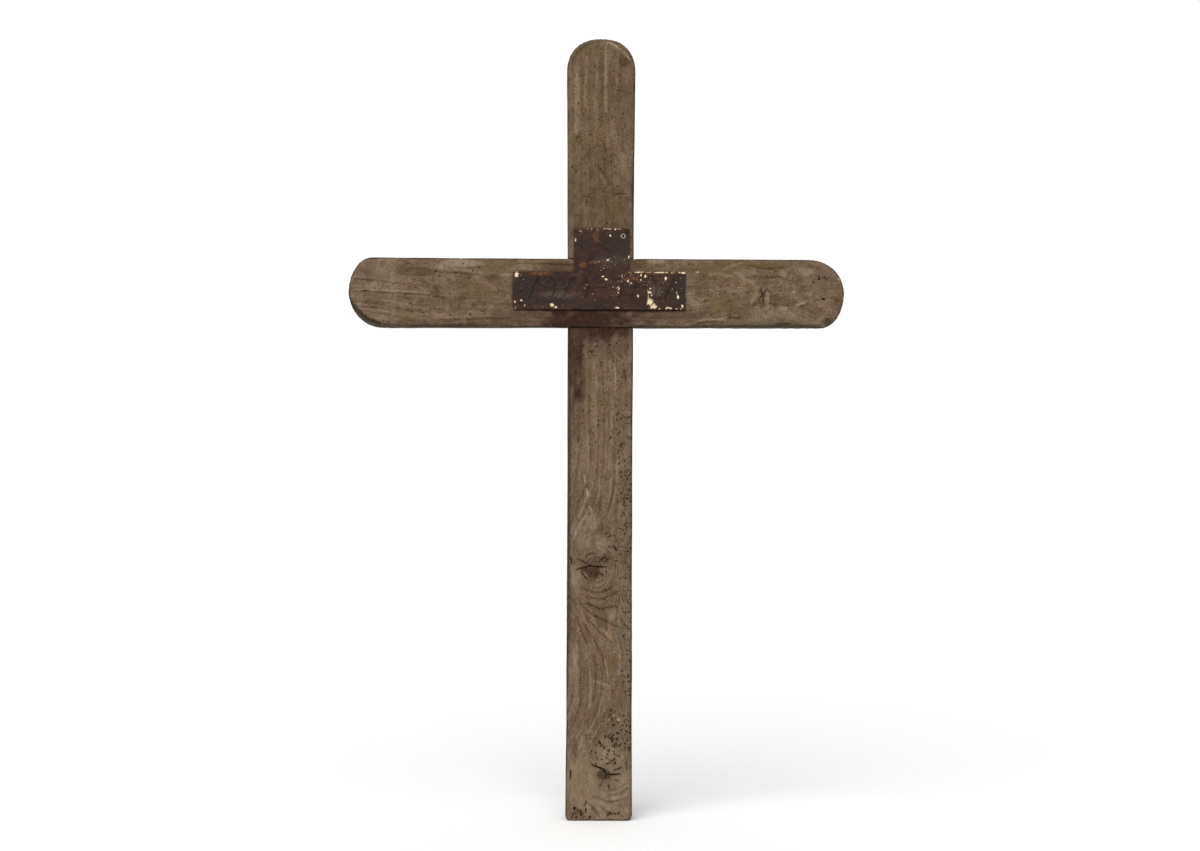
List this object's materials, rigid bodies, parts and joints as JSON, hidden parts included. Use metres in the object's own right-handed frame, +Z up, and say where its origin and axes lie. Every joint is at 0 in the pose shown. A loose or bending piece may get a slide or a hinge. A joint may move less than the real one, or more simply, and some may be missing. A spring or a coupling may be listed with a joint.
{
  "type": "wooden grave cross",
  "caption": "Weathered wooden grave cross: an upright board with a rounded head halved with a round-ended crossbar, and a rusty sheet-iron plate nailed over the joint.",
  "frame": {"origin": "middle of the sawn end at the upright's foot", "axes": "+Z up the upright, +X along the crossbar to the viewer's right, front and plate towards -Y"},
  "size_m": [0.595, 0.0399, 0.939],
  "materials": {
    "upright_wood": "bare softwood, weathered grey-brown and rough",
    "crossbar_wood": "bare softwood, weathered grey-brown and rough",
    "plate_iron": "rusted sheet iron with flakes of old cream paint",
    "nail_iron": "rusted"
  },
  "bodies": {
    "root": {"upright": "upright_wood", "crossbar": "crossbar_wood", "name_plate": "plate_iron", "nail_tab_left": "nail_iron", "nail_tab_right": "nail_iron", "nail_strip_left": "nail_iron", "nail_strip_right": "nail_iron"}
  },
  "joints": []
}
